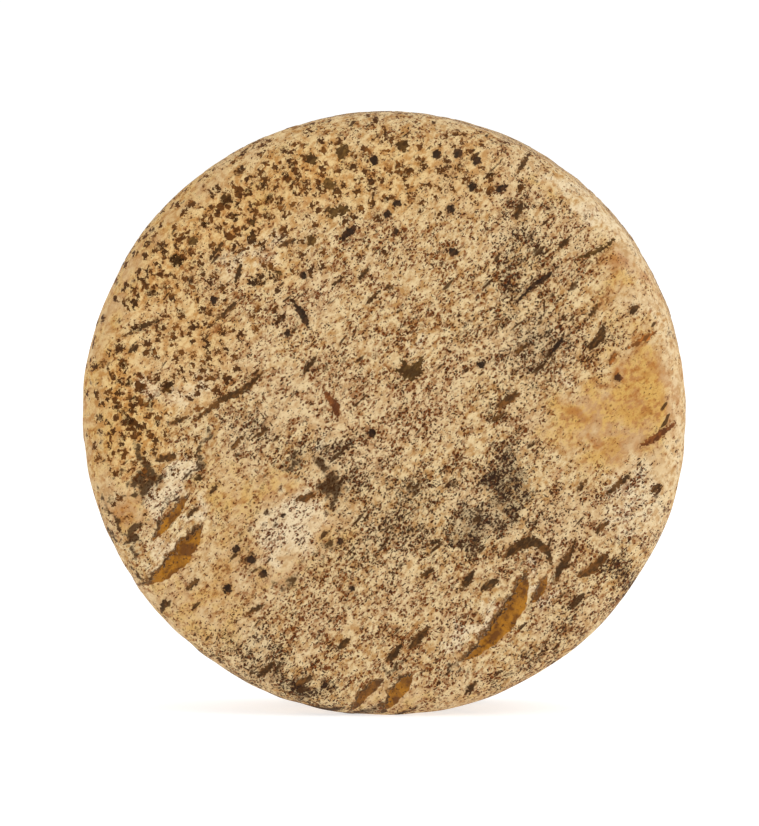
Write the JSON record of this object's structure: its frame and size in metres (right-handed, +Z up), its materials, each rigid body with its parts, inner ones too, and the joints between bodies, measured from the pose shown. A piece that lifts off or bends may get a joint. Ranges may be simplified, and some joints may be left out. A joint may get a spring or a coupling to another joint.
{
  "type": "shaving soap puck",
  "caption": "Round cake of shaving soap with rounded shoulders and a speckled, marbled face holding amber soap shards, slivers of bark and seeds.",
  "frame": {"origin": "middle of the narrow flat on the rim that the cake stands on", "axes": "+Z up; +Y along the cake's axis, from its front face to its back face; +X to the right seen from the front"},
  "size_m": [0.07, 0.025, 0.0698],
  "materials": {
    "soap": "satin",
    "amber_soap": "gloss",
    "bark": "matte",
    "rust_bark": "matte",
    "olive_leaf": "matte",
    "seed": "satin",
    "coarse_grain": "matte"
  },
  "bodies": {
    "root": {"soap_cake": "soap", "amber_shard_large": "amber_soap", "amber_shard_branch": "amber_soap", "amber_shard_left_upper": "amber_soap", "amber_shard_left_lower": "amber_soap", "amber_shard_foot_left": "amber_soap", "amber_shard_foot_right": "amber_soap", "amber_shard_back_upper": "amber_soap", "amber_shard_back_lower": "amber_soap", "twig_forked": "bark", "twig_arched": "bark", "twig_edge_low": "bark", "twig_edge_rust": "rust_bark", "twig_foot_left": "bark", "twig_foot_right": "bark", "sliver_long_left": "bark", "sliver_long_right": "seed", "sliver_curved": "seed", "sliver_black_top": "seed", "sliver_olive_right": "olive_leaf", "sliver_wedge_right": "bark", "sliver_rust_centre": "rust_bark", "sliver_black_right": "seed", "sliver_soft_right": "bark", "sliver_hump": "bark", "sliver_left_low": "bark", "flake_star": "olive_leaf", "flake_top": "olive_leaf", "flake_twin": "olive_leaf", "flakes_olive": "olive_leaf", "seed_black_right": "seed", "seed_black_upper": "seed", "seeds_small": "seed", "slivers_upper_left": "bark", "slivers_upper_right": "bark", "slivers_lower_left": "bark", "slivers_lower_right": "bark", "grains_front": "coarse_grain", "grains_back": "coarse_grain", "slivers_back": "bark", "seeds_back": "seed", "slivers_rim": "bark"}
  },
  "joints": []
}
